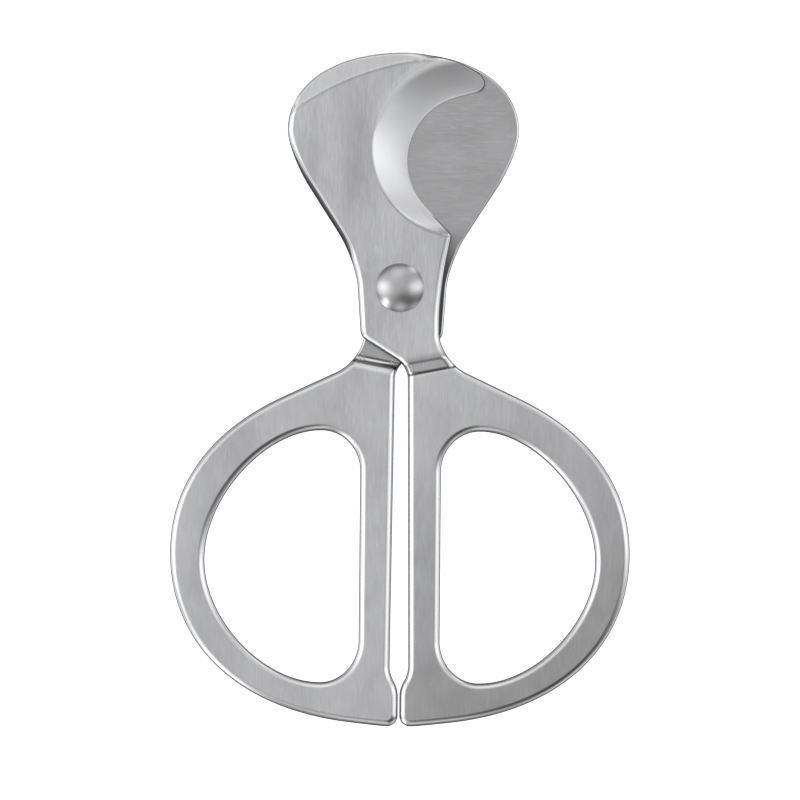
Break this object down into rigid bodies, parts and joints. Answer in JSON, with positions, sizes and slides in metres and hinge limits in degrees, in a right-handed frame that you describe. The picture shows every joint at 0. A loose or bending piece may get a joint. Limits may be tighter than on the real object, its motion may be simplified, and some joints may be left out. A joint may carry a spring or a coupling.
{
  "type": "wick trimmer",
  "caption": "Short stamped-steel scissors with crescent blades that close a round mouth, D-shaped finger rings and a domed rivet.",
  "frame": {"origin": "on the pivot axis, at the centre of the flat end of the rivet's tail, which is the lowest point of the tool when its domed rivet head faces up", "axes": "+Y along the tool from the finger rings to the blade tips, +Z along the pivot axis towards the domed rivet head, +X towards the front half's finger ring"},
  "size_m": [0.0784, 0.1151, 0.0072],
  "materials": {
    "front_half": "brushed along the tool, with polished rounded edges and a polished hollow round the mouth",
    "rear_half": "brushed, across the tool on the sliding face, with polished rounded edges",
    "pivot_rivet": "satin, tumbled",
    "tail_washer": "satin, plain stamped"
  },
  "bodies": {
    "rear_body": {"rear_half": "rear_half", "pivot_rivet": "pivot_rivet", "tail_washer": "tail_washer"},
    "front_body": {"front_half": "front_half"}
  },
  "joints": [
    {"name": "pivot", "type": "hinge", "parent": "rear_body", "child": "front_body", "pos_m": [0, 0, 0.00325], "axis": [0, 0, 1], "range_deg": [0, 90]}
  ]
}
